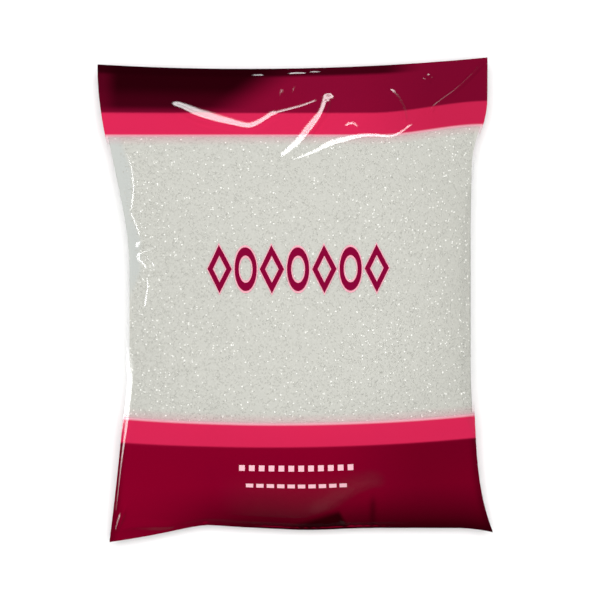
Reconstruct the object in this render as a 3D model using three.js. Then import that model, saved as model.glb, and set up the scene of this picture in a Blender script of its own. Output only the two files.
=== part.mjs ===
// A one-kilogram pillow pack of granulated sugar, lying on its back.
// A tube of clear film is welded flat across both ends. The sugar fills it to a cushion that is flat
// where it rests, pinched at the waist and widest at the four corners of the end seals. Above the sugar,
// near the top seal, the film is slack and folded. The pack is one closed solid.
// Millimetres. +X is to the right of the front, +Y towards the top seal, and +Z up, out of the front.
import * as THREE from "three";
import { mergeVertices } from "three/addons/utils/BufferGeometryUtils.js";

const { clamp, lerp, smoothstep } = THREE.MathUtils;

// Plan of the pack
const WAIST_WIDTH = 168; // across the filled middle
const TOP_REACH = 113; // from the middle of the pack to the middle of the top edge
const BOTTOM_REACH = 111.5;
const TOP_TILT = 1.7; // the right end of the top edge stands this much above its middle, the left below
const TOP_BOW = 3.6; // and both ends bow up by this much

// How far each corner of the end seals stands out past the waist, and between which Y it does so
const TOP_LEFT_FLARE = { out: 14.7, from: 15, to: 112.7 };
const TOP_RIGHT_FLARE = { out: 1.8, from: 30, to: 113 };
const TOP_RIGHT_EAR = { out: 5.6, from: 66, to: 97 };
const BOTTOM_LEFT_FLARE = { out: 9, from: -35, to: -117, power: 1.2 };
const BOTTOM_RIGHT_FLARE = { out: 10.2, from: -35, to: -113, power: 4, straight: 0.3 };

// Waves of the bottom edge: each moves it along Y, about a place across, -1 at the left to 1 at the right
const BOTTOM_WAVES = [
  { name: "lift", rise: 1.5, at: -0.54, width: 0.2 },
  { name: "sag", rise: -1, at: 0.04, width: 0.2 },
];
const LEFT_DROOP = { drop: 6.8, from: 0.5 };
const RIGHT_DROOP = { drop: 2, from: 0.82 };

// Heights above the surface that the pack rests on
const FRONT_HEIGHT = 46; // the crown of the front
const FOLD_HEIGHT = 24; // the sides of the film, where the pack is widest
const FOLD_RISE = 70; // length over which the sides climb from the seals to that height
const TOP_SEAL_HEIGHT = 17;
const BOTTOM_SEAL_HEIGHT = 14;
const SEAL_DEPTH = 5; // width of the welded strip at each end
const TOP_SEAL_DROP = 1.5; // how far the strip's edge turns down between its corners
const BOTTOM_SEAL_DROP = 2.5;
const FILM_PAIR = 0.6; // least thickness, where both walls of the film lie together

// The filled cushion: the length each end takes to reach full height, in the middle and at the sides
const BOTTOM_END = { rise: 64, riseAtSide: 96 };
const TOP_END = { rise: 92, riseAtSide: 120 };
const CROSS_POWER = 2.5; // a larger one has a flatter front and rounder sides
const RIGHT_SIDE = 0.55; // powers of the edge of a cross-section: round at the right,
const LEFT_SIDE = 0.8; // sharper at the lower left,
const EMPTY_SIDE = 1.3; // thin along the upper left, where the film holds little sugar,
const FLAT_SIDE = 1.3; // and thin near the seals
const EMPTY_FROM = -60;
const EMPTY_FULL = 30;
const BASE_FULLNESS = 0.55; // the back wall lies flat wherever the cushion is fuller than this
const BASE_POWER = 1.7;

// Folds of the front's slack film. Each runs through a few points of the plan and stands up as a ridge of
// the given height, or a valley where that is negative, dying away over the given width.
const FOLDS = [
  // a swoop at the left, running on as a thin line
  { height: 2, width: 4.5, through: [[-65, 95], [-50, 88], [-34, 83.5], [-26, 82.5], [-18, 85]] },
  { height: 1, width: 4, through: [[-18, 85], [-12, 88], [-2, 91.5], [10, 96.5]] },
  // a peak in the middle
  { height: 2, width: 4.5, through: [[-9, 67], [0, 74.5], [8, 85], [11, 90], [14, 98]] },
  // a swoop at the right, running on into the top right corner
  { height: 2, width: 4.5, through: [[-9, 67], [0, 68], [15, 73.5], [23, 75.5], [44, 78], [59, 85.5]] },
  { height: 0.8, width: 4, through: [[59, 85.5], [69, 96], [84, 108]] },
  // hollows above the two swoops
  { height: -0.8, width: 9, through: [[-60, 104], [-30, 98], [-10, 102]] },
  { height: -0.6, width: 7, through: [[20, 89], [40, 90], [52, 96]] },
  // the edge of the sugar at the upper left, and the pinch where it meets the waist
  { height: 1.4, width: 5, through: [[-86, 75], [-81, 59], [-81, 43], [-78, 31]] },
  { height: 1, width: 5, through: [[-78, 31], [-70, 20], [-64, 24]] },
  { height: 1, width: 5, through: [[-76, 20], [-74, 6], [-75, -8]] },
  // a dent beside the bottom seal
  { height: -1.4, width: 6, through: [[10, -106], [17, -101], [27, -95], [35, -92]] },
];

// Mesh of the film
const COLUMNS = 48;
const ROWS = 56;
const SIDE_CROWDING = 0.8; // how much closer together the columns lie at the sides than in the middle
const END_CROWDING = 0.5; // and the rows at the seals

function bottomEdge(across) {
  let waves = 0;
  for (const wave of BOTTOM_WAVES) {
    waves += wave.rise * Math.exp(-(((across - wave.at) / wave.width) ** 2));
  }
  const left = LEFT_DROOP.drop * clamp((-across - LEFT_DROOP.from) / (1 - LEFT_DROOP.from), 0, 1);
  const right = RIGHT_DROOP.drop * clamp((across - RIGHT_DROOP.from) / (1 - RIGHT_DROOP.from), 0, 1) ** 2;
  return waves - BOTTOM_REACH - left - right;
}

function topEdge(across) {
  return TOP_REACH + TOP_TILT * across + TOP_BOW * across ** 2;
}

// X of the left and right folds at a given Y
function leftEdge(y) {
  const top = TOP_LEFT_FLARE;
  const bottom = BOTTOM_LEFT_FLARE;
  const down = clamp((y - bottom.from) / (bottom.to - bottom.from), 0, 1);
  return -WAIST_WIDTH / 2 - top.out * smoothstep(y, top.from, top.to) - bottom.out * down ** bottom.power;
}

function rightEdge(y) {
  const top = TOP_RIGHT_FLARE;
  const ear = TOP_RIGHT_EAR;
  const bottom = BOTTOM_RIGHT_FLARE;
  const down = clamp((y - bottom.from) / (bottom.to - bottom.from), 0, 1);
  const above = top.out * smoothstep(y, top.from, top.to) + ear.out * smoothstep(y, ear.from, ear.to);
  return WAIST_WIDTH / 2 + above + bottom.out * lerp(down ** bottom.power, down, bottom.straight);
}

// Height of the surface halfway between the front and back walls: the seals at the ends, and in between
// the line where the pack is widest
function middleHeight(across, toBottom, toTop) {
  const turn = 1 - across ** 4;
  const bottom = BOTTOM_SEAL_HEIGHT - BOTTOM_SEAL_DROP * turn * (1 - smoothstep(toBottom, 0, SEAL_DEPTH));
  const top = TOP_SEAL_HEIGHT - TOP_SEAL_DROP * turn * (1 - smoothstep(toTop, 0, SEAL_DEPTH));
  if (toBottom < toTop) return lerp(bottom, FOLD_HEIGHT, smoothstep(toBottom, 0, FOLD_RISE));
  return lerp(top, FOLD_HEIGHT, smoothstep(toTop, 0, FOLD_RISE));
}

// 0 at a seal to 1 at full height
function endFullness(end, distance, across) {
  const t = clamp((distance - SEAL_DEPTH) / lerp(end.rise, end.riseAtSide, across ** 2), 0, 1);
  return 1 - (1 - t) ** 2;
}

// How full the cushion is, from 0 at its edges to 1 over the middle
function fullness(across, y, toBottom, toTop) {
  const ends = endFullness(BOTTOM_END, toBottom, across) * endFullness(TOP_END, toTop, across);
  const left = lerp(LEFT_SIDE, EMPTY_SIDE, smoothstep(y, EMPTY_FROM, EMPTY_FULL));
  const filled = across < 0 ? left : RIGHT_SIDE;
  return ends * (1 - Math.abs(across) ** CROSS_POWER) ** lerp(FLAT_SIDE, filled, ends);
}

function distanceToPath(x, y, points) {
  let nearest = Infinity;
  for (let i = 1; i < points.length; i++) {
    const [startX, startY] = points[i - 1];
    const [endX, endY] = points[i];
    const stepX = endX - startX;
    const stepY = endY - startY;
    const share = ((x - startX) * stepX + (y - startY) * stepY) / (stepX ** 2 + stepY ** 2);
    const along = clamp(share, 0, 1);
    nearest = Math.min(nearest, Math.hypot(x - startX - stepX * along, y - startY - stepY * along));
  }
  return nearest;
}

function foldHeight(x, y) {
  let total = 0;
  for (const fold of FOLDS) {
    const away = distanceToPath(x, y, fold.through) / fold.width;
    total += fold.height * Math.exp(-(away ** 2));
  }
  return total;
}

// A point of the film, for a place across (-1 to 1) and along (0 at the bottom edge, 1 at the top)
function filmPoint(across, along, isFront) {
  const y = lerp(bottomEdge(across), topEdge(across), along);
  const x = lerp(leftEdge(y), rightEdge(y), (across + 1) / 2);
  const toBottom = y - bottomEdge(across);
  const toTop = topEdge(across) - y;
  const middle = middleHeight(across, toBottom, toTop);
  const full = fullness(across, y, toBottom, toTop);
  if (isFront) {
    const slack = smoothstep(Math.min(toBottom, toTop), 0, 2 * SEAL_DEPTH) * (1 - across ** 8);
    const filled = (FRONT_HEIGHT - FOLD_HEIGHT) * full;
    const rise = Math.max(filled + foldHeight(x, y) * slack, 0);
    return new THREE.Vector3(x, y, middle + FILM_PAIR / 2 + rise);
  }
  const lift = (1 - clamp(full / BASE_FULLNESS, 0, 1)) ** BASE_POWER;
  return new THREE.Vector3(x, y, (middle - FILM_PAIR / 2) * lift);
}

// A flat box divided into a grid becomes the pack: its top face is the front wall, its bottom face the back.
function packGeometry() {
  const grid = new THREE.BoxGeometry(2, 1, 1, COLUMNS, ROWS, 1);
  grid.deleteAttribute("normal");
  grid.deleteAttribute("uv");
  const geometry = mergeVertices(grid);
  const position = geometry.getAttribute("position");
  for (let i = 0; i < position.count; i++) {
    const column = position.getX(i);
    const row = position.getY(i) + 0.5;
    const crowding = SIDE_CROWDING * (1 - smoothstep(row, 0.6, 0.85));
    const across = lerp(column, Math.sin((Math.PI / 2) * column), crowding);
    const along = row - (END_CROWDING * Math.sin(2 * Math.PI * row)) / (2 * Math.PI);
    const point = filmPoint(across, along, position.getZ(i) > 0);
    position.setXYZ(i, point.x, point.y, point.z);
  }
  geometry.computeBoundingBox();
  const middle = geometry.boundingBox.getCenter(new THREE.Vector3());
  geometry.translate(-middle.x, -middle.y, -geometry.boundingBox.min.z);
  geometry.computeVertexNormals();
  return geometry;
}

const bag = new THREE.Mesh(
  packGeometry(),
  new THREE.MeshStandardMaterial({ color: 0xcfcfc7, roughness: 0.25, metalness: 0 }),
);
bag.name = "bag";

const group = new THREE.Group();
group.add(bag);

export default group;
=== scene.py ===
"""A one-kilogram film pack of granulated sugar, lying on its back on a pale floor.

The film, the sugar inside it and the loose crystals on the sugar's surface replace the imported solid. Shapes
are worked out in millimetres on the plan of the pack, as in the part's source, and then moved into the frame
in metres. "across" runs from -1 at the left fold to 1 at the right one, and "up" is a distance along the film
from its bottom edge.
"""
import math

import bpy
import numpy as np
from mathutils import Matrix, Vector


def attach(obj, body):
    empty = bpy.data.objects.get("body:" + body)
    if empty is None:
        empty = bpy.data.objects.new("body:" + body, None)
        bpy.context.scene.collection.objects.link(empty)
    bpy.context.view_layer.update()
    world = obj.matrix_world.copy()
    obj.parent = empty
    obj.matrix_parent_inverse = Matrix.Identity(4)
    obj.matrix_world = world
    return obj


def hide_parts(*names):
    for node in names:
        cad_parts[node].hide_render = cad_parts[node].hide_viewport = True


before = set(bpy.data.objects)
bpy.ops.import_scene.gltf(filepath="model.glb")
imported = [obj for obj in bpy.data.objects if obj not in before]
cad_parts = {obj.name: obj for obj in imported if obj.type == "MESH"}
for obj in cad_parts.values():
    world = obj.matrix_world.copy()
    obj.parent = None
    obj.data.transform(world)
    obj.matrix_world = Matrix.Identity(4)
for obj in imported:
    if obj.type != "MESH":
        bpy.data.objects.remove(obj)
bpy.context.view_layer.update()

MM = 0.001
rng = np.random.default_rng(7)

# Plan of the pack, as in the part's source
WAIST_WIDTH = 168.0
TOP_REACH = 113.0
BOTTOM_REACH = 111.5
TOP_TILT = 1.7
TOP_BOW = 3.6

# How far each corner of the end seals stands out past the waist, and between which Y it does so
TOP_LEFT_FLARE = {"out": 14.7, "start": 15.0, "end": 112.7}
TOP_RIGHT_FLARE = {"out": 1.8, "start": 30.0, "end": 113.0}
TOP_RIGHT_EAR = {"out": 5.6, "start": 66.0, "end": 97.0}
BOTTOM_LEFT_FLARE = {"out": 9.0, "start": -35.0, "end": -117.0, "power": 1.2}
BOTTOM_RIGHT_FLARE = {"out": 10.2, "start": -35.0, "end": -113.0, "power": 4, "straight": 0.3}

# Waves of the bottom edge, and how its corners droop
BOTTOM_WAVES = (
    {"rise": 1.5, "middle": -0.54, "width": 0.2},
    {"rise": -1.0, "middle": 0.04, "width": 0.2},
)
LEFT_DROOP = {"drop": 6.8, "start": 0.5}
RIGHT_DROOP = {"drop": 2.0, "start": 0.82}

# Heights, as in the part's source
FRONT_HEIGHT = 46.0
FOLD_HEIGHT = 24.0
FOLD_RISE = 70.0
TOP_SEAL_HEIGHT = 17.0
BOTTOM_SEAL_HEIGHT = 14.0
SEAL_DEPTH = 5.0
TOP_SEAL_DROP = 1.5
BOTTOM_SEAL_DROP = 2.5
BOTTOM_END = (64.0, 96.0)
TOP_END = (92.0, 120.0)
CROSS_POWER = 2.5
LEFT_SIDE = 0.8
EMPTY_SIDE = 1.3
RIGHT_SIDE = 0.55
FLAT_SIDE = 1.3
EMPTY_FROM = -60.0
EMPTY_FULL = 30.0
BASE_FULLNESS = 0.55
BASE_POWER = 1.7
FILM_GAP = 0.15  # half the gap between the two walls of film at the seals

# The film's printed bands: where each starts, up the film from the bottom edge, in millimetres of film
FILM_LENGTH = 240.0
LOW_PINK = 48.0
LOW_WINDOW = 60.0
HIGH_PINK = 199.0
HIGH_DARK = 210.0
TOP_EDGE = 233.0
FILM_HALF_WIDTH = 95.0


def smooth(value, low, high):
    t = np.clip((value - low) / (high - low), 0.0, 1.0)
    return t * t * (3.0 - 2.0 * t)


def mix(a, b, t):
    return a + (b - a) * t


def bell(value, middle, width):
    return np.exp(-(((value - middle) / width) ** 2))


def bottom_edge(across):
    waves = sum(wave["rise"] * bell(across, wave["middle"], wave["width"]) for wave in BOTTOM_WAVES)
    left_start, right_start = LEFT_DROOP["start"], RIGHT_DROOP["start"]
    left = LEFT_DROOP["drop"] * np.clip((-across - left_start) / (1 - left_start), 0, 1)
    right = RIGHT_DROOP["drop"] * np.clip((across - right_start) / (1 - right_start), 0, 1) ** 2
    return waves - BOTTOM_REACH - left - right


def top_edge(across):
    return TOP_REACH + TOP_TILT * across + TOP_BOW * across**2


def flare(y, corner):
    return corner["out"] * smooth(y, corner["start"], corner["end"])


def share_down(y, corner):
    return np.clip((y - corner["start"]) / (corner["end"] - corner["start"]), 0, 1)


def left_edge(y):
    bottom = BOTTOM_LEFT_FLARE
    down = share_down(y, bottom)
    return -WAIST_WIDTH / 2 - flare(y, TOP_LEFT_FLARE) - bottom["out"] * down ** bottom["power"]


def right_edge(y):
    bottom = BOTTOM_RIGHT_FLARE
    down = share_down(y, bottom)
    above = flare(y, TOP_RIGHT_FLARE) + flare(y, TOP_RIGHT_EAR)
    return WAIST_WIDTH / 2 + above + bottom["out"] * mix(down ** bottom["power"], down, bottom["straight"])


def printed_line(middle, tilt, bow, lift=0.0, lift_from=0.5):
    """A line across the film: its Y in the middle, its tilt, its bow, and a lift towards the right fold."""
    def line(across):
        return middle + tilt * across + bow * across**2 + lift * smooth(across, lift_from, 1.0)
    return line


# The edges of the bands: where each lies up the film, and on the plan
BAND_LINES = (
    (0.0, bottom_edge),
    (LOW_PINK, printed_line(-71.0, 1.2, 2.7)),
    (LOW_WINDOW, printed_line(-59.5, 0.85, 3.05)),
    (HIGH_PINK, printed_line(79.5, 0.0, 0.6, 5.2, 0.45)),
    (HIGH_DARK, printed_line(90.1, 0.0, 0.7, 5.7, 0.4)),
    (TOP_EDGE, top_edge),
)


def film_plan(across, up):
    """Where a point of the film lies in plan, from its place across and its distance up the film."""
    y = bottom_edge(across)
    for (low, low_line), (high, high_line) in zip(BAND_LINES, BAND_LINES[1:]):
        share = np.clip((up - low) / (high - low), 0, 1)
        y = y + share * (high_line(across) - low_line(across))
    x = mix(left_edge(y), right_edge(y), (across + 1) / 2)
    return x, y


def place_across(x, y):
    return 2 * (x - left_edge(y)) / (right_edge(y) - left_edge(y)) - 1


def middle_height(across, to_bottom, to_top):
    """Height of the surface halfway between the two walls."""
    turn = 1 - across**4
    bottom = BOTTOM_SEAL_HEIGHT - BOTTOM_SEAL_DROP * turn * (1 - smooth(to_bottom, 0, SEAL_DEPTH))
    top = TOP_SEAL_HEIGHT - TOP_SEAL_DROP * turn * (1 - smooth(to_top, 0, SEAL_DEPTH))
    low = mix(bottom, FOLD_HEIGHT, smooth(to_bottom, 0, FOLD_RISE))
    high = mix(top, FOLD_HEIGHT, smooth(to_top, 0, FOLD_RISE))
    return np.where(to_bottom < to_top, low, high)


def end_fullness(end, distance, across):
    """0 at a seal to 1 at full height, from the length that this takes in the middle and at the sides."""
    rise, rise_at_side = end
    t = np.clip((distance - SEAL_DEPTH) / mix(rise, rise_at_side, across**2), 0, 1)
    return 1 - (1 - t) ** 2


def fullness(across, y, to_bottom, to_top):
    ends = end_fullness(BOTTOM_END, to_bottom, across) * end_fullness(TOP_END, to_top, across)
    left = mix(LEFT_SIDE, EMPTY_SIDE, smooth(y, EMPTY_FROM, EMPTY_FULL))
    filled = np.where(across < 0, left, RIGHT_SIDE)
    return ends * (1 - np.abs(across) ** CROSS_POWER) ** mix(FLAT_SIDE, filled, ends)


PATH_STEPS = 8


def smooth_path(points):
    """A Catmull-Rom curve through the points, as an array of closer points."""
    p = [np.array(q, dtype=float) for q in points]
    p = [2 * p[0] - p[1]] + p + [2 * p[-1] - p[-2]]
    curve = []
    for i in range(1, len(p) - 2):
        for k in range(PATH_STEPS):
            t = k / PATH_STEPS
            a = 2 * p[i]
            b = (p[i + 1] - p[i - 1]) * t
            c = (2 * p[i - 1] - 5 * p[i] + 4 * p[i + 1] - p[i + 2]) * t**2
            d = (3 * p[i] - p[i - 1] - 3 * p[i + 1] + p[i + 2]) * t**3
            curve.append((a + b + c + d) / 2)
    curve.append(p[-2])
    return np.array(curve)


def path_distance(x, y, curve):
    """Signed distance from a curve, positive on its left, and how far along the nearest point is, 0 to 1."""
    lengths = np.hypot(*np.diff(curve, axis=0).T)
    starts = np.concatenate([[0.0], np.cumsum(lengths)])
    nearest = np.full(x.shape, np.inf)
    signed = np.zeros(x.shape)
    place = np.zeros(x.shape)
    for i, length in enumerate(lengths):
        (ax, ay), (bx, by) = curve[i], curve[i + 1]
        dx, dy = (bx - ax) / length, (by - ay) / length
        along = np.clip((x - ax) * dx + (y - ay) * dy, 0, length)
        gap = np.hypot(x - ax - along * dx, y - ay - along * dy)
        side = np.sign(dx * (y - ay) - dy * (x - ax))
        closer = gap < nearest
        nearest = np.where(closer, gap, nearest)
        signed = np.where(closer, gap * side, signed)
        place = np.where(closer, (starts[i] + along) / starts[-1], place)
    return signed, place


BELL_REACH = 3  # widths from its middle at which a bell has died away


def near_curve(x, y, curve, reach):
    """Which points lie close enough to a curve to be moved by it."""
    (low_x, low_y), (high_x, high_y) = curve.min(axis=0) - reach, curve.max(axis=0) + reach
    return (x > low_x) & (x < high_x) & (y > low_y) & (y < high_y)


def fold(x, y, height, width, points):
    """The height of a broad ridge along a line of points."""
    curve = smooth_path(points)
    near = near_curve(x, y, curve, BELL_REACH * width)
    signed, _ = path_distance(x[near], y[near], curve)
    total = np.zeros(x.shape)
    total[near] = height * bell(signed, 0, width)
    return total


# Broad folds: height, width and the points of the plan that each passes. The last is a dent.
FOLDS = (
    (-0.8, 9, ((-60, 104), (-30, 98), (-10, 102))),
    (-0.6, 7, ((20, 89), (40, 90), (52, 96))),
    (0.8, 5, ((-86, 75), (-81, 59), (-81, 43), (-78, 31))),
    (0.4, 5, ((-78, 31), (-70, 20), (-64, 24))),
    (0.6, 5, ((-76, 20), (-74, 6), (-75, -8))),
    (-1.4, 6, ((10, -106), (17, -101), (27, -95), (35, -92))),
)

# Sharp creases. Each has the steepness of its lit flank, the widths of that flank at equal steps along it, the
# width of its other flank, the length of the fade at either end as a share of the whole, and the points that
# the steepest line of its lit flank passes. All run with the lit flank on their left.
CREASES = {
    "left swoop": (0.87, (1.5, 2.6, 3.4, 3.6, 3.2, 2.6, 2.2, 1.8, 1.5), 1.6, 0.12, 0.03, (
        (-65, 97.2), (-57.3, 94.2), (-49.6, 90.7), (-41.8, 88.2), (-34, 86.1), (-26.2, 84.3), (-22.4, 84.8),
        (-18.5, 86.8), (-14, 89.8), (-11, 91))),
    "thin line": (0.81, (1,), 1.0, 0.05, 0.15, (
        (-13, 90.4), (-7.8, 91.8), (-1.9, 93.4), (3.9, 95.3), (9.5, 97.8))),
    "peak": (0.88, (2.2, 3.4, 3.2, 2.4, 2.2), 1.4, 0.02, 0.06, (
        (-9.8, 68.4), (-6.7, 71.2), (-1.2, 76), (2.7, 80.9), (6.5, 85.8), (9.9, 90.6), (11.8, 95.5),
        (12.8, 99))),
    "right swoop": (0.88, (1, 1.2, 1.8, 2.8, 2.6, 1.8, 1.5, 1.2, 1.2, 1.2), 1.6, 0.02, 0.1, (
        (-9.5, 67.5), (-4, 67.6), (-1, 68.2), (6.8, 71.3), (14.6, 75.3), (22.4, 77.5), (30.1, 79.3),
        (37.9, 79.4), (44, 79), (49.6, 81.6), (53.4, 84.6), (58.3, 86.2))),
    "corner line": (0.81, (1,), 0.8, 0.1, 0.05, (
        (62, 89), (64.5, 94), (68, 97), (75.3, 102.3), (82.6, 109.1), (90, 117))),
    "arc": (0.82, (1,), 0.8, 0.2, 0.2, (
        (50.5, 84), (50, 90), (48.4, 95), (45.5, 99.5), (41.8, 103))),
    "arch": (0.82, (1.2,), 0.8, 0.2, 0.2, (
        (21.4, 82.6), (22.6, 84.6), (25.3, 85.5), (27.2, 84.2), (28.2, 82))),
    "glint one": (0.79, (1,), 0.8, 0.4, 0.5, ((-9.6, 96), (-9.2, 104))),
    "glint two": (0.79, (1,), 0.8, 0.4, 0.5, ((-3.7, 97.5), (-2.7, 106))),
    "seal glint one": (0.84, (0.8,), 0.6, 0.3, 0.3, ((-25, 109.4), (-20, 109.6), (-16, 109.4))),
    "seal glint two": (0.84, (0.9,), 0.6, 0.3, 0.3, ((-8, 110.1), (-2, 110.6), (5, 110.6))),
    "seal glint three": (0.84, (0.8,), 0.6, 0.3, 0.3, ((3, 111.2), (7, 111.4), (12, 111.3))),
    "star one": (0.83, (1,), 0.8, 0.3, 0.3, ((58, 108.5), (62, 107.6), (66, 109.5))),
    "star two": (0.83, (1,), 0.8, 0.3, 0.3, ((62, 104), (62, 111))),
    "left edge top": (0.84, (0.9,), 0.9, 0.05, 0.25, (
        (-82, 42.5), (-81.5, 45.4), (-80.7, 51.3), (-80.7, 57.1), (-81.4, 62.9), (-83.1, 68.8),
        (-85.7, 74.6), (-86.6, 79))),
    "left edge low": (0.84, (0.9,), 0.9, 0.15, 0.05, (
        (-76.8, 29.5), (-78.4, 34), (-80.2, 38.5), (-82, 42.5))),
    "pinch one": (0.86, (1.3,), 1, 0.2, 0.1, ((-79.7, 21.5), (-74, 23.5), (-68.5, 26.4))),
    "pinch two": (0.87, (1.3,), 1, 0.1, 0.15, ((-73.6, 14.6), (-75.6, 17.6), (-79, 20.6))),
    "pinch three": (0.88, (1.3,), 1, 0.1, 0.2, ((-69.6, 15.4), (-72, 18.6), (-75.6, 21.6))),
    "pinch four": (0.87, (1.1,), 0.9, 0.15, 0.2, ((-70.4, 15.6), (-69.2, 18.2), (-67.2, 20))),
    "pinch five": (0.79, (0.8,), 0.8, 0.2, 0.2, ((-68.5, 26), (-64, 26.2), (-60, 26))),
    "pinch top": (0.79, (1.4,), 1.0, 0.4, 0.4, ((-80.4, 26.4), (-77.6, 27.8), (-74.6, 28.2))),
    "left waist": (0.83, (0.9,), 0.9, 0.15, 0.15, (
        (-75.2, -5), (-74.5, -0.2), (-73.6, 5.6), (-73.6, 8.5), (-74.3, 12.5))),
    "lower left": (0.82, (1.2,), 0.8, 0.1, 0.1, (
        (-91, -110), (-89.4, -98), (-87, -79), (-84, -60), (-82.6, -49), (-81.4, -33))),
    "corner patch": (0.89, (1.8,), 1.4, 0.15, 0.5, (
        (-91, -113.5), (-89.4, -109), (-87.4, -103), (-85.4, -97))),
    "low corner": (0.77, (1.4,), 1.6, 0.2, 0.2, (
        (-91, -112.4), (-84, -109.8), (-75.3, -109), (-65.6, -109.6), (-58, -110.8))),
    "low crease": (0.84, (1.2,), 0.8, 0.2, 0.2, ((22.6, -111), (19.6, -107), (17.6, -103.6))),
}

# The cone at the upper end of the peak
KNOB_TOP = (13.8, 97.4)
KNOB_RADIUS = 3.2
KNOB_SLOPE = 0.4

# The steepest part of a bell-shaped flank lies this share of its width from the crest, and is this steep for
# a ridge as high as the flank is wide
STEEPEST_AT = math.sqrt(0.5)
BELL_SLOPE = math.sqrt(2 / math.e)
HIGHEST_CREASE = 0.9  # of its left flank's width
PROBE = 0.2  # half the distance over which the slope of the front is measured

# Folds and creases die away at the seals, over this distance, and at the sides, later for a larger power
FOLD_SEAL = 2 * SEAL_DEPTH
FOLD_SIDE_POWER = 8
CREASE_SEAL = 3.0
CREASE_SIDE_POWER = 60


def front_height(x, y, across, folded=True):
    """The front wall without its sharp creases."""
    to_bottom = y - bottom_edge(across)
    to_top = top_edge(across) - y
    rise = (FRONT_HEIGHT - FOLD_HEIGHT) * fullness(across, y, to_bottom, to_top)
    if folded:
        from_sides = 1 - np.abs(across) ** FOLD_SIDE_POWER
        slack = smooth(np.minimum(to_bottom, to_top), 0, FOLD_SEAL) * from_sides
        for height, width, points in FOLDS:
            rise = rise + fold(x, y, height, width, points) * slack
    return middle_height(across, to_bottom, to_top) + FILM_GAP + np.maximum(rise, 0)


def back_height(x, y, across):
    """The back wall, flat wherever the pack is full enough to rest on it."""
    to_bottom = y - bottom_edge(across)
    to_top = top_edge(across) - y
    full = fullness(across, y, to_bottom, to_top)
    lift = (1 - np.clip(full / BASE_FULLNESS, 0, 1)) ** BASE_POWER
    return (middle_height(across, to_bottom, to_top) - FILM_GAP) * lift


def downhill(x, y):
    """How fast the uncreased front falls towards +X and +Y."""
    def uncreased(x, y):
        return front_height(x, y, place_across(x, y))

    along_x = uncreased(x - PROBE, y) - uncreased(x + PROBE, y)
    along_y = uncreased(x, y - PROBE) - uncreased(x, y + PROBE)
    return along_x / (2 * PROBE), along_y / (2 * PROBE)


def crease(x, y, steepness, left_widths, right_width, fade_in, fade_out, points):
    """The height of a crease that is just high enough for its left flank to be as steep as stated."""
    curve = smooth_path(points)
    along = np.gradient(curve, axis=0)
    along /= np.linalg.norm(along, axis=1, keepdims=True)
    fall_x, fall_y = downhill(curve[:, 0], curve[:, 1])
    to_left = fall_y * along[:, 0] - fall_x * along[:, 1]
    lengthwise = fall_x * along[:, 0] + fall_y * along[:, 1]
    wanted = np.sqrt(np.maximum(steepness**2 - lengthwise**2, 0)) - to_left
    rises = np.clip(wanted / BELL_SLOPE, 0, HIGHEST_CREASE)
    lengths = np.concatenate([[0.0], np.cumsum(np.hypot(*np.diff(curve, axis=0).T))])

    near = near_curve(x, y, curve, BELL_REACH * (max(left_widths) + right_width))
    signed, place = path_distance(x[near], y[near], curve)
    left_width = np.interp(place, np.linspace(0, 1, len(left_widths)), left_widths)
    from_crest = signed + STEEPEST_AT * left_width
    width = np.where(from_crest > 0, left_width, right_width)
    fade = smooth(place, 0, fade_in) * (1 - smooth(place, 1 - fade_out, 1))
    height = np.interp(place, lengths / lengths[-1], rises) * left_width
    total = np.zeros(x.shape)
    total[near] = height * bell(from_crest, 0, width) * fade
    return total


def knob(x, y):
    """The height of the blunt cone that the film stands up in at the upper end of the peak."""
    return KNOB_SLOPE * np.maximum(KNOB_RADIUS - np.hypot(x - KNOB_TOP[0], y - KNOB_TOP[1]), 0)


def creased_height(x, y, across):
    """The front wall with its creases."""
    to_seal = np.minimum(y - bottom_edge(across), top_edge(across) - y)
    slack = smooth(to_seal, 0, CREASE_SEAL) * (1 - np.abs(across) ** CREASE_SIDE_POWER)
    highest = knob(x, y)
    for settings in CREASES.values():
        highest = np.maximum(highest, crease(x, y, *settings))
    return front_height(x, y, across) + highest * slack


# The frame's origin is the centre of the pack's box, so the plan is shifted as in the part's source
OUTLINE_Y = np.linspace(-120, 120, 2001)
MIDDLE_X = (left_edge(OUTLINE_Y).min() + right_edge(OUTLINE_Y).max()) / 2
MIDDLE_Y = (bottom_edge(-1.0) + top_edge(1.0)) / 2
SHIFT = np.array([-MIDDLE_X, -MIDDLE_Y, 0.0])


def grid_faces(columns, rows, start, flipped=False):
    i, j = np.meshgrid(np.arange(columns - 1), np.arange(rows - 1), indexing="xy")
    a = start + i + j * columns
    quad = [a, a + 1, a + 1 + columns, a + columns]
    if flipped:
        quad = quad[::-1]
    return np.stack(quad, axis=-1).reshape(-1, 4)


def make_mesh(name, vertices, faces, uv=None):
    """An object from arrays of vertices in plan millimetres and of faces."""
    mesh = bpy.data.meshes.new(name)
    corners = faces.shape[1]
    mesh.vertices.add(len(vertices))
    mesh.loops.add(faces.size)
    mesh.polygons.add(len(faces))
    mesh.vertices.foreach_set("co", ((vertices + SHIFT) * MM).astype(np.float32).ravel())
    mesh.loops.foreach_set("vertex_index", faces.astype(np.int32).ravel())
    mesh.polygons.foreach_set("loop_start", np.arange(0, faces.size, corners, dtype=np.int32))
    mesh.update(calc_edges=True)
    if uv is not None:
        layer = mesh.uv_layers.new(name="film")
        layer.data.foreach_set("uv", uv[faces.ravel()].astype(np.float32).ravel())
    obj = bpy.data.objects.new(name, mesh)
    bpy.context.collection.objects.link(obj)
    return obj


def shade_smooth(obj):
    obj.data.polygons.foreach_set("use_smooth", [True] * len(obj.data.polygons))


def add_attribute(obj, name, values):
    layer = obj.data.attributes.new(name, "FLOAT", "POINT")
    layer.data.foreach_set("value", values.astype(np.float32))


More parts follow.
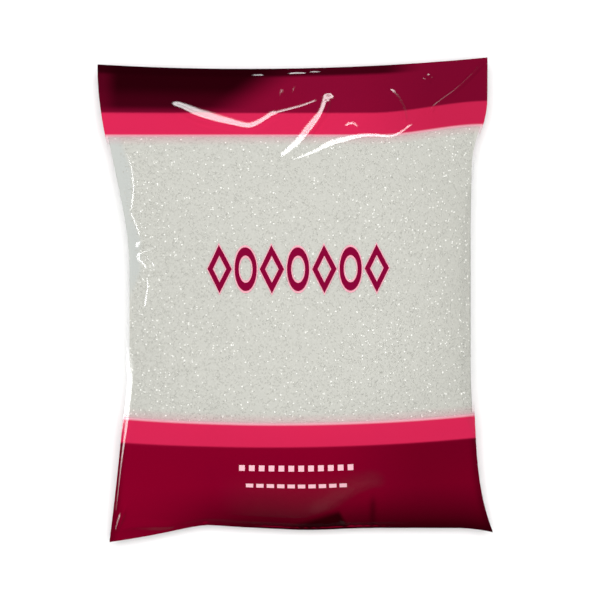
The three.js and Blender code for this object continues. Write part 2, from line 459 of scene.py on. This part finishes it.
def spread(count, crowding):
    """Places from -1 to 1, closer together near both ends."""
    u = np.linspace(-1, 1, count)
    return mix(u, np.sin(math.pi / 2 * u), crowding)


# Camera: straight above the pack, as the photo looks at its front
PIXELS_PER_MM = 2.058
PICTURE = 600
CAMERA_HEIGHT = 1.5
SENSOR = 36.0
AIM_HEIGHT = 0.022
camera_data = bpy.data.cameras.new("camera")
camera_data.sensor_width = SENSOR
camera_data.lens = SENSOR * (CAMERA_HEIGHT - AIM_HEIGHT) / (PICTURE / PIXELS_PER_MM * MM)
camera = bpy.data.objects.new("camera", camera_data)
camera.location = (SHIFT[0] * MM, 0, CAMERA_HEIGHT)
bpy.context.collection.objects.link(camera)
bpy.context.scene.camera = camera


# Materials
class Nodes:
    """A short way to write a node tree."""

    def __init__(self, name):
        self.material = bpy.data.materials.new(name)
        self.material.use_nodes = True
        self.tree = self.material.node_tree
        self.tree.nodes.clear()
        self.output = self.tree.nodes.new("ShaderNodeOutputMaterial")

    def add(self, kind, settings=None, **inputs):
        """A node, its settings, and its inputs: by name, or by number after an underscore."""
        node = self.tree.nodes.new("ShaderNode" + kind)
        for key, value in (settings or {}).items():
            setattr(node, key, value)
        for key, value in inputs.items():
            socket = node.inputs[int(key[1:])] if key[0] == "_" else node.inputs[key.replace("_", " ")]
            if isinstance(value, bpy.types.NodeSocket):
                self.tree.links.new(value, socket)
            else:
                socket.default_value = value
        return node

    def math(self, operation, *values):
        inputs = {f"_{i}": v for i, v in enumerate(values)}
        return self.add("Math", {"operation": operation}, **inputs).outputs[0]

    def vector(self, operation, **inputs):
        return self.add("VectorMath", {"operation": operation}, **inputs).outputs[0]

    def rise(self, value, start, end):
        """0 below the start to 1 above the end, smoothly."""
        settings = {"interpolation_type": "SMOOTHSTEP"}
        return self.add("MapRange", settings, Value=value, From_Min=start, From_Max=end).outputs[0]

    def mix_color(self, factor, a, b, blend="MIX"):
        node = self.add("Mix", {"data_type": "RGBA", "blend_type": blend}, _0=factor, _6=a, _7=b)
        return node.outputs[2]

    def mix_shader(self, factor, a, b):
        return self.add("MixShader", _0=factor, _1=a, _2=b).outputs[0]

    def ramp(self, factor, stops):
        """The colour and the alpha of a colour ramp, from stops in order."""
        node = self.add("ValToRGB", Fac=factor)
        elements = node.color_ramp.elements
        while len(elements) < len(stops):
            elements.new(0.5)
        for element, (place, color) in zip(elements, stops):
            element.position = place
            element.color = color
        return node.outputs[0], node.outputs[1]

    def finish(self, shader):
        self.tree.links.new(shader, self.output.inputs["Surface"])
        return self.material


def linear(r, g, b):
    """An sRGB colour, 0 to 255, in the linear values that nodes take."""
    def channel(v):
        v /= 255
        return v / 12.92 if v <= 0.04045 else ((v + 0.055) / 1.055) ** 2.4
    return (channel(r), channel(g), channel(b), 1.0)


LOW_RED = linear(119, 1, 35)
HIGH_RED = linear(117, 9, 43)
PINK = linear(194, 36, 77)
PALE_PINK = linear(240, 170, 185)
MOTIF_INK = linear(116, 6, 48)
MARK_PINK = linear(246, 196, 206)
MOTTLE = (0.9, 0.12, 0.2, 1)
MOTTLE_SHARE = 0.14
SUGAR_WHITE = linear(171, 171, 164)
# Painted glint: the colour of the lighter crystals that stand in for sparkle
GLINT_WHITE = linear(222, 222, 216)
MARGIN_GREY = linear(173, 176, 172)
FLOOR_WHITE = (0.93, 0.93, 0.93, 1)
WHITE = (1, 1, 1, 1)
BLACK = (0, 0, 0, 1)
PAINTED_SHADE_BLACK = 0.93  # how far the print is painted towards black where the painted shade is full

# Widths of the printed bands' sharp edges, and of the pale fringe and the tint that they fade out in
BAND_EDGE = 0.2
BAND_FRINGE = 1.1
BAND_TINT = 5.0
FRINGE_COVER = 0.75
TINT_COVER = 0.2

# The row of tall lozenges and ovals across the window
MOTIF_PITCH = 14.2
MOTIF_COUNT = 7
MOTIF_U = 94.0
MOTIF_V = 134.2
MOTIF_NARROW = 1.75
MOTIF_HALF_HEIGHT = 9.0
OVAL_HALF_HEIGHT = 8.5
LOZENGE_HALF_STROKE = 2.6
OVAL_HALF_STROKE = 2.0
HALO_WIDTH = 1.0
HALO_COVER = 0.75

# The two rows of small pale marks on the lower band, and half the width and height of their marks
MARK_ROWS = (
    {"v": 36.0, "half_row": 31.0, "pitch": 5.17, "half_long": 1.5, "half_high": 1.7},
    {"v": 25.6, "half_row": 27.0, "pitch": 5.4, "half_long": 1.9, "half_high": 1.1},
)
MARK_COVER = 0.9

# The film shines on slopes between these values of Layer Weight's facing, and a little on steeper ones
GLOSS_START = (0.185, 0.235)
GLOSS_END = (0.265, 0.34)
GLOSS_LOST = 0.85
GLOSS_SHARE = 0.06
GLOSS_ROUGHNESS = 0.23

# Fine crinkles of the film, strongest in the welded strips
CRINKLE = 0.2
SEAL_CRINKLE = 0.8


def band_stops():
    """The printed bands, as stops of a colour ramp that runs up the film."""
    def at(millimetres):
        return millimetres / FILM_LENGTH

    clear = PALE_PINK[:3] + (0.0,)
    faint = PALE_PINK[:3] + (TINT_COVER,)
    fringe = PALE_PINK[:3] + (FRINGE_COVER,)
    return (
        (0.0, LOW_RED),
        (at(LOW_PINK - BAND_EDGE), LOW_RED),
        (at(LOW_PINK), PINK),
        (at(LOW_WINDOW - BAND_EDGE), PINK),
        (at(LOW_WINDOW), fringe),
        (at(LOW_WINDOW + BAND_FRINGE), faint),
        (at(LOW_WINDOW + BAND_TINT), clear),
        (at(HIGH_PINK - BAND_TINT), clear),
        (at(HIGH_PINK - BAND_FRINGE), faint),
        (at(HIGH_PINK), fringe),
        (at(HIGH_PINK + BAND_EDGE), PINK),
        (at(HIGH_DARK), PINK),
        (at(HIGH_DARK + BAND_EDGE), HIGH_RED),
        (1.0, HIGH_RED),
    )


def motif(n, u, v):
    """The ink of the row of lozenges and ovals, and the pale halo around it."""
    place = n.math("DIVIDE", n.math("SUBTRACT", u, MOTIF_U - MOTIF_PITCH * MOTIF_COUNT / 2), MOTIF_PITCH)
    cell = n.math("FLOOR", place)
    in_cell = n.math("SUBTRACT", n.math("SUBTRACT", place, cell), 0.5)
    local_u = n.math("MULTIPLY", in_cell, MOTIF_PITCH * MOTIF_NARROW)
    local_v = n.math("SUBTRACT", v, MOTIF_V)
    in_row = n.math("COMPARE", place, MOTIF_COUNT / 2, MOTIF_COUNT / 2)
    even = n.math("COMPARE", n.math("MODULO", cell, 2.0), 0.0, 0.1)

    def stroke(size, half_height, half_stroke):
        """Negative on the line around a shape."""
        return n.math("SUBTRACT", n.math("ABSOLUTE", n.math("SUBTRACT", size, half_height)), half_stroke)

    diagonal = n.math("ADD", n.math("ABSOLUTE", local_u), n.math("ABSOLUTE", local_v))
    lozenge = stroke(diagonal, MOTIF_HALF_HEIGHT, LOZENGE_HALF_STROKE)
    radius = n.math("SQRT", n.math("ADD", n.math("POWER", local_u, 2.0), n.math("POWER", local_v, 2.0)))
    oval = stroke(radius, OVAL_HALF_HEIGHT, OVAL_HALF_STROKE)
    odd_shape = n.math("MULTIPLY", oval, n.math("SUBTRACT", 1.0, even))
    shape = n.math("ADD", n.math("MULTIPLY", lozenge, even), odd_shape)
    ink = n.math("MULTIPLY", n.math("LESS_THAN", shape, 0.0), in_row)
    halo = n.math("MULTIPLY", n.math("LESS_THAN", shape, HALO_WIDTH), in_row)
    return ink, n.math("MULTIPLY", halo, HALO_COVER)


def marks(n, u, v):
    """The two rows of small pale marks."""
    rows = []
    from_middle = n.math("SUBTRACT", u, MOTIF_U)
    for row in MARK_ROWS:
        half_pitch = row["pitch"] / 2
        near = n.math("LESS_THAN", n.math("ABSOLUTE", from_middle), row["half_row"])
        place = n.math("PINGPONG", from_middle, half_pitch)
        long_side = n.math("GREATER_THAN", place, half_pitch - row["half_long"])
        high_side = n.math("COMPARE", v, row["v"], row["half_high"])
        rows.append(n.math("MULTIPLY", n.math("MULTIPLY", near, long_side), high_side))
    return n.math("MULTIPLY", n.math("MAXIMUM", *rows), MARK_COVER)


def film_material():
    n = Nodes("printed film")
    uv = n.add("UVMap", {"uv_map": "film"}).outputs[0]
    split = n.add("SeparateXYZ", Vector=uv)
    u = n.math("MULTIPLY", split.outputs[0], FILM_LENGTH)
    v = n.math("MULTIPLY", split.outputs[1], FILM_LENGTH)

    color, cover = n.ramp(split.outputs[1], band_stops())
    ink, halo = motif(n, u, v)
    color = n.mix_color(halo, color, PALE_PINK)
    color = n.mix_color(ink, color, MOTIF_INK)
    color = n.mix_color(marks(n, u, v), color, MARK_PINK)
    mottle = n.add("TexNoise", Vector=n.add("TexCoord").outputs["Object"], Scale=38.0, Detail=3.0).outputs[0]
    color = n.mix_color(n.math("MULTIPLY", mottle, MOTTLE_SHARE), color, MOTTLE, "SOFT_LIGHT")
    # Painted shade: the "empty" attribute mixes the print towards black
    empty = n.add("Attribute", {"attribute_name": "empty"}).outputs["Fac"]
    color = n.mix_color(empty, color, n.mix_color(PAINTED_SHADE_BLACK, color, BLACK))
    cover = n.math("MAXIMUM", n.math("MAXIMUM", cover, ink), halo)

    crinkle = n.add("TexNoise", Vector=uv, Scale=60.0, Detail=4.0, Roughness=0.55).outputs[0]
    top_seal = n.math("GREATER_THAN", v, TOP_EDGE - SEAL_DEPTH)
    seals = n.math("ADD", top_seal, n.math("LESS_THAN", v, SEAL_DEPTH))
    strength = n.math("ADD", n.math("MULTIPLY", seals, SEAL_CRINKLE), CRINKLE)
    relief = n.math("MULTIPLY", crinkle, strength)
    bump = n.add("Bump", Strength=0.25, Distance=0.0005, Height=relief).outputs[0]

    facing = n.add("LayerWeight", Blend=0.5, Normal=bump).outputs["Facing"]
    kept = n.math("SUBTRACT", 1.0, n.math("MULTIPLY", n.rise(facing, *GLOSS_END), GLOSS_LOST))
    gloss_share = n.math("MULTIPLY", n.math("MULTIPLY", n.rise(facing, *GLOSS_START), kept), GLOSS_SHARE)
    gloss = n.add("BsdfGlossy", Color=WHITE, Roughness=GLOSS_ROUGHNESS, Normal=bump).outputs[0]
    see_through = n.add("BsdfTransparent", Color=WHITE).outputs[0]
    printed = n.add("BsdfPrincipled", Base_Color=color, Roughness=0.5, Normal=bump, Specular_IOR_Level=0.0)
    body = n.mix_shader(cover, see_through, printed.outputs[0])
    return n.finish(n.mix_shader(gloss_share, body, gloss))


# The sugar: how much the lightest and darkest grains differ from its colour, the share of its own relief in
# its shading, and the rise of a face, from level at 0, over which its shading is evened out
GRAIN_DARKER = 0.72
GRAIN_LIGHTER = 1.16
GRAIN_SHARE = 0.12
FACET_SHARE = 0.12
EVEN_RISE = (-0.2, 0.4)


def sugar_material(name, base, roughness, gloss):
    n = Nodes(name)
    where = n.add("TexCoord").outputs["Object"]
    cloud = n.add("TexNoise", Vector=where, Scale=60.0, Detail=4.0).outputs[0]
    speck = n.add("TexVoronoi", Vector=where, Scale=1400.0).outputs["Color"]
    grey = n.add("SeparateColor", Color=speck).outputs[0]
    shade = n.math("ADD", n.math("MULTIPLY", cloud, GRAIN_SHARE), n.math("MULTIPLY", grey, GRAIN_SHARE))
    darker = tuple(c * GRAIN_DARKER for c in base[:3]) + (1,)
    lighter = tuple(min(c * GRAIN_LIGHTER, 1.0) for c in base[:3]) + (1,)
    color = n.mix_color(shade, lighter, darker)
    margin = n.add("Attribute", {"attribute_name": "margin"}).outputs["Fac"]
    color = n.mix_color(margin, color, MARGIN_GREY)
    relief = n.add("TexVoronoi", Vector=where, Scale=1300.0).outputs["Distance"]
    bump = n.add("Bump", Strength=0.6, Distance=0.0004, Height=relief).outputs[0]

    # Light scatters between the crystals, which evens out the shading of the faces on the front
    height = n.add("SeparateXYZ", Vector=n.add("NewGeometry").outputs["Normal"]).outputs[2]
    even = n.math("MULTIPLY", n.rise(height, *EVEN_RISE), 1.0 - FACET_SHARE)
    upward = n.vector("SCALE", _0=(0.0, 0.0, 1.0), Scale=even)
    own = n.vector("SCALE", _0=bump, Scale=n.math("SUBTRACT", 1.0, even))
    normal = n.vector("NORMALIZE", _0=n.vector("ADD", _0=upward, _1=own))
    body = n.add("BsdfDiffuse", Color=color, Normal=normal).outputs[0]
    glint = n.add("BsdfGlossy", Color=WHITE, Roughness=roughness, Normal=bump).outputs[0]
    return n.finish(n.mix_shader(gloss, body, glint))


# Painted shade: the print is darker where no lit sugar lies behind it, at the sides, in a wedge and a fold.
# A pair is the range over which a shade grows or fades, in millimetres or across the pack.
CORNER_X = -17.0
CORNER_Y = 105.7
CORNER_LEAN = 1.37
CORNER_FADE = (-15.0, 15.0)
CORNER_UP = (HIGH_DARK - 1.0, HIGH_DARK + 4.5)
CORNER_TOP_UP = (HIGH_DARK + 6.0, HIGH_DARK + 14.0)
CORNER_DARK = 0.86
CORNER_TOP_DARK = 0.12
CORNER_SIDE = (-97.0, -88.0)
CORNER_SIDE_LEAST = 0.72
TOP_SEAL_UP = (TOP_EDGE - 5.0, TOP_EDGE - 3.0)
TOP_SEAL_X = (40.0, 62.0)
TOP_SEAL_DARK = 0.85
TOP_RIGHT_ACROSS = (0.2, 0.8)
TOP_RIGHT_DARK = 0.24
END_LENGTH = 25.0
END_POWER = 1.2
END_ACROSS = (-0.9, -0.15)
END_DARK = 0.95
END_LEAST = 0.22
LOW_RIGHT_ACROSS = (0.1, 0.75)
LOW_RIGHT_DARK = 0.34
WEDGE_TOP = ((-16, -112.5), (-4, -109), (6, -106), (18.5, -102), (26, -100))
WEDGE_DEPTH = (-0.5, 3.0)
WEDGE_LEFT = (-16.0, 8.0)
WEDGE_RIGHT = (18.0, 20.5)
WEDGE_LEAN = 0.5
WEDGE_Y = -103.0
WEDGE_HIGHEST = -95
WEDGE_DARK = 0.95
LOW_FOLD_X = 35.5
LOW_FOLD_WIDTH = 1.6
LOW_FOLD_UP = (12.0, 22.0)
LOW_FOLD_DARK = 0.5
SIDES_ACROSS = (0.95, 1.0)
SIDES_DARK = 0.4
BACK_DARK = 0.3


def painted_shade(x, y, up, across):
    """Painted shade on the print, 0 to 1: darkest in the slack top left corner, under the seals and in a
    wedge.
    """
    slant = x - CORNER_X - CORNER_LEAN * (y - CORNER_Y)
    corner_up = CORNER_DARK * smooth(up, *CORNER_UP) + CORNER_TOP_DARK * smooth(up, *CORNER_TOP_UP)
    corner = (1 - smooth(slant, *CORNER_FADE)) * corner_up
    corner = corner * mix(CORNER_SIDE_LEAST, 1.0, smooth(x, *CORNER_SIDE))
    top_seal = TOP_SEAL_DARK * smooth(up, *TOP_SEAL_UP) * (1 - smooth(x, *TOP_SEAL_X))
    top_right = TOP_RIGHT_DARK * smooth(across, *TOP_RIGHT_ACROSS) * (up > HIGH_PINK)
    end = END_DARK * (1 - np.clip(up / END_LENGTH, 0, 1)) ** END_POWER
    end = end * mix(END_LEAST, 1.0, smooth(across, *END_ACROSS))
    low_right = LOW_RIGHT_DARK * smooth(across, *LOW_RIGHT_ACROSS) * (up < LOW_PINK)
    above_wedge, _ = path_distance(x, y, smooth_path(WEDGE_TOP))
    wedge_side = x + WEDGE_LEAN * (y - WEDGE_Y)
    wedge = smooth(-above_wedge, *WEDGE_DEPTH) * (1 - smooth(wedge_side, *WEDGE_RIGHT))
    wedge = WEDGE_DARK * (wedge * smooth(x, *WEDGE_LEFT) * (y < WEDGE_HIGHEST))
    low_fold = LOW_FOLD_DARK * bell(x, LOW_FOLD_X, LOW_FOLD_WIDTH) * (1 - smooth(up, *LOW_FOLD_UP))
    sides = SIDES_DARK * smooth(np.abs(across), *SIDES_ACROSS) * (up < LOW_PINK)
    light = np.ones(x.shape)
    for shade in (corner, top_seal, top_right, end, low_right, wedge, low_fold, sides):
        light = light * (1 - shade)
    return 1 - light


# Film
FRONT_GRID = (330, 290)
BACK_GRID = (60, 70)
COLUMN_CROWDING = 0.55
ROW_CROWDING = 0.5


def film_wall(grid, height):
    """A wall of film, its rows closer together towards the top, where the folds are."""
    columns, rows = grid
    share = np.linspace(0, 1, rows)
    share = mix(share, np.sin(math.pi / 2 * share), ROW_CROWDING)
    across, up = np.meshgrid(spread(columns, COLUMN_CROWDING), share * TOP_EDGE, indexing="xy")
    across = across.ravel()
    up = up.ravel()
    x, y = film_plan(across, up)
    uv = np.stack([(across + 1) * FILM_HALF_WIDTH / FILM_LENGTH, up / FILM_LENGTH], axis=-1)
    return np.stack([x, y, height(x, y, across)], axis=-1), uv, across, up


front, front_uv, front_across, front_up = film_wall(FRONT_GRID, creased_height)
back, back_uv, _, _ = film_wall(BACK_GRID, back_height)
film_faces = np.concatenate([grid_faces(*FRONT_GRID, 0), grid_faces(*BACK_GRID, len(front), flipped=True)])
film = make_mesh("film", np.concatenate([front, back]), film_faces, np.concatenate([front_uv, back_uv]))
shade_smooth(film)
# Painted shade on the front wall, and an even painted shade on the back wall
front_painted_shade = painted_shade(front[:, 0], front[:, 1], front_up, front_across)
add_attribute(film, "empty", np.concatenate([front_painted_shade, np.full(len(back), BACK_DARK)]))
film.data.materials.append(film_material())
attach(film, "root")
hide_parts("bag")


# Sugar: a closed body just inside the film, with a grainy surface
CORE_GRID = (170, 200)
CORE_GAP = 1.0
CORE_GRAIN = 0.15
CORE_HALF_WIDTH = 0.985  # of the film's
CORE_START = 6.5
CORE_LENGTH = TOP_EDGE - 20
CORE_COLUMN_CROWDING = 0.6
CORE_ROW_CROWDING = 0.3
CORE_LEAST = 0.05  # least half thickness, away from the rim

# The left margin, where the film holds no loose crystals: Y and X of its right side
MARGIN_LINE = ((-8, 14, 30, 42, 52, 63, 74, 80), (-85, -77, -77, -82, -81, -81.5, -85.7, -87))
MARGIN_FADE = (-1.0, 2.0)
MARGIN_START = (-8, 14)


def core_top(x, y, across):
    """The top of the sugar: below the creases' valleys, but not up in their ridges."""
    return np.minimum(front_height(x, y, across, folded=False), creased_height(x, y, across)) - CORE_GAP


def core_walls(columns, rows):
    half_width = spread(columns, CORE_COLUMN_CROWDING) * CORE_HALF_WIDTH
    lengthwise = CORE_START + (spread(rows, CORE_ROW_CROWDING) + 1) / 2 * CORE_LENGTH
    across, up = np.meshgrid(half_width, lengthwise, indexing="xy")
    across = across.ravel()
    x, y = film_plan(across, up.ravel())
    middle = middle_height(across, y - bottom_edge(across), top_edge(across) - y)
    top = core_top(x, y, across) - rng.uniform(0, CORE_GRAIN, x.shape)
    bottom = back_height(x, y, across) + CORE_GAP
    rim = np.zeros((rows, columns), dtype=bool)
    rim[0] = rim[-1] = True
    rim[:, 0] = rim[:, -1] = True
    rim = rim.ravel()
    top = np.where(rim, middle, np.maximum(top, middle + CORE_LEAST))
    bottom = np.where(rim, middle, np.minimum(bottom, middle - CORE_LEAST))
    return np.stack([x, y, top], axis=-1), np.stack([x, y, bottom], axis=-1)


top_wall, bottom_wall = core_walls(*CORE_GRID)
core_faces = np.concatenate([grid_faces(*CORE_GRID, 0), grid_faces(*CORE_GRID, len(top_wall), flipped=True)])
sugar = make_mesh("sugar", np.concatenate([top_wall, bottom_wall]), core_faces)
shade_smooth(sugar)
wall_x, wall_y = top_wall[:, 0], top_wall[:, 1]
margin = smooth(np.interp(wall_y, *MARGIN_LINE) - wall_x, *MARGIN_FADE) * smooth(wall_y, *MARGIN_START)
add_attribute(sugar, "margin", np.concatenate([margin, np.zeros(len(bottom_wall))]))
sugar.data.materials.append(sugar_material("packed sugar", SUGAR_WHITE, 0.5, 0.02))
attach(sugar, "root")


# Loose crystals: small blocks at true size, turned every way, against the film over the whole window
CRYSTAL_ACROSS = 0.965
CRYSTAL_CROWDING = 0.5
PAST_WINDOW = 8
MARGIN_JITTER = 1
MARGIN_STRAYS = 0.1  # share of the crystals in the left margin that are kept
UNDER_SHARE = 0.4  # of the crystals, tried against the back wall
UNDER_LIFT = 0.6  # they are left out where that wall lies lower than this,
UNDER_ROOM = 1.2  # and where the two walls are closer together than this
LEAST_STRETCH = 0.75
MOST_STRETCH = 1.25
BLOCK = np.array([(i, j, k) for i in (-1, 1) for j in (-1, 1) for k in (-1, 1)], dtype=float) / 2
BLOCK_SIDES = np.array([(0, 1, 3, 2), (4, 6, 7, 5), (0, 4, 5, 1), (2, 3, 7, 6), (0, 2, 6, 4), (1, 5, 7, 3)])


def turns(count):
    """Rotation matrices, each turned at random."""
    spin = rng.normal(size=(count, 4))
    spin /= np.linalg.norm(spin, axis=1, keepdims=True)
    w, a, b, c = spin.T
    return np.array([
        [1 - 2 * (b * b + c * c), 2 * (a * b - c * w), 2 * (a * c + b * w)],
        [2 * (a * b + c * w), 1 - 2 * (a * a + c * c), 2 * (b * c - a * w)],
        [2 * (a * c - b * w), 2 * (b * c + a * w), 1 - 2 * (a * a + b * b)],
    ]).transpose(2, 0, 1)


def crystals(name, count, small, large, sunk, material):
    across = rng.uniform(-CRYSTAL_ACROSS, CRYSTAL_ACROSS, count)
    across = mix(across, np.sin(math.pi / 2 * across), CRYSTAL_CROWDING)
    up = rng.uniform(LOW_WINDOW - PAST_WINDOW, HIGH_PINK + PAST_WINDOW, count)
    x, y = film_plan(across, up)
    under = rng.uniform(0, 1, count) < UNDER_SHARE
    margin_x = np.interp(y, *MARGIN_LINE) + rng.uniform(-MARGIN_JITTER, MARGIN_JITTER, count)
    above_held = (x > margin_x) | (rng.uniform(0, 1, count) < MARGIN_STRAYS)
    bottom_z = back_height(x, y, across)
    top_z = core_top(x, y, across)
    under_held = (bottom_z > UNDER_LIFT) & (top_z - bottom_z - CORE_GAP > UNDER_ROOM)
    held = np.where(under, under_held, above_held)
    z = np.where(under, bottom_z + CORE_GAP + sunk, top_z - sunk)
    places = np.stack([x, y, z], axis=-1)[held]
    count = len(places)
    size = rng.uniform(small, large, count)
    stretch = rng.uniform(LEAST_STRETCH, MOST_STRETCH, (count, 1, 3))
    corners = BLOCK[None] * stretch * size[:, None, None]
    corners = np.einsum("nij,nkj->nki", turns(count), corners) + places[:, None]
    block_faces = (np.arange(count)[:, None, None] * len(BLOCK) + BLOCK_SIDES[None]).reshape(-1, 4)
    obj = make_mesh(name, corners.reshape(-1, 3), block_faces)
    obj.data.materials.append(material)
    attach(obj, "root")


fine_material = sugar_material("fine crystals", SUGAR_WHITE, 0.35, 0.03)
coarse_material = sugar_material("coarse crystals", SUGAR_WHITE, 0.3, 0.04)
# The lighter crystals are painted glints: their pale colour stands in for sparkle, beside a little real gloss
glint_material = sugar_material("bright crystals", GLINT_WHITE, 0.2, 0.08)
crystals("crystals_fine", 20000, 0.35, 0.5, 0.08, fine_material)
crystals("crystals_coarse", 15000, 0.45, 0.6, 0.12, coarse_material)
crystals("crystals_glint", 2500, 0.4, 0.65, 0.02, glint_material)

# Floor
FLOOR_HALF = 2.5
FLOOR_DROP = 0.0002
square = np.array([(-1, -1, 0), (1, -1, 0), (1, 1, 0), (-1, 1, 0)], dtype=float)
floor = make_mesh("floor", square * FLOOR_HALF / MM - SHIFT, np.array([(0, 1, 2, 3)]))
floor.location.z = -FLOOR_DROP
floor_nodes = Nodes("pale floor")
matt = floor_nodes.add("BsdfPrincipled", Base_Color=FLOOR_WHITE, Roughness=0.9, Specular_IOR_Level=0.1)
floor.data.materials.append(floor_nodes.finish(matt.outputs[0]))


# Light
def softbox(name, azimuth, zenith, distance, width, height, power):
    """An area light that looks at the pack. Azimuth 0 is at the right of the picture and 90 at its top."""
    light = bpy.data.lights.new(name, "AREA")
    light.shape = "RECTANGLE"
    light.size = width
    light.size_y = height
    light.energy = power
    obj = bpy.data.objects.new(name, light)
    a, z = math.radians(azimuth), math.radians(zenith)
    obj.location = Vector((math.cos(a) * math.sin(z), math.sin(a) * math.sin(z), math.cos(z))) * distance
    obj.rotation_euler = (-obj.location).to_track_quat("-Z", "Y").to_euler()
    obj.visible_camera = False
    bpy.context.collection.objects.link(obj)
    return obj


# One broad light overhead, and low strips that only the slopes of the folds and creases mirror to the camera
STRIP_AZIMUTHS = (73, 95, 117, 139, 161, 183, 205)
STRIP = {"zenith": 81, "distance": 1.3, "width": 0.5, "height": 0.26, "power": 6.2}
WORLD_STRENGTH = 0.27
softbox("overhead", azimuth=90, zenith=4, distance=2.0, width=1.3, height=1.3, power=50)
for strip_azimuth in STRIP_AZIMUTHS:
    strip = softbox(f"strip_{strip_azimuth}", strip_azimuth, **STRIP)
    strip.visible_diffuse = False

world = bpy.data.worlds.new("studio")
bpy.context.scene.world = world
world.use_nodes = True
background = world.node_tree.nodes["Background"]
background.inputs["Color"].default_value = WHITE
background.inputs["Strength"].default_value = WORLD_STRENGTH
world.cycles_visibility.glossy = False
bpy.context.scene.view_settings.view_transform = "Standard"
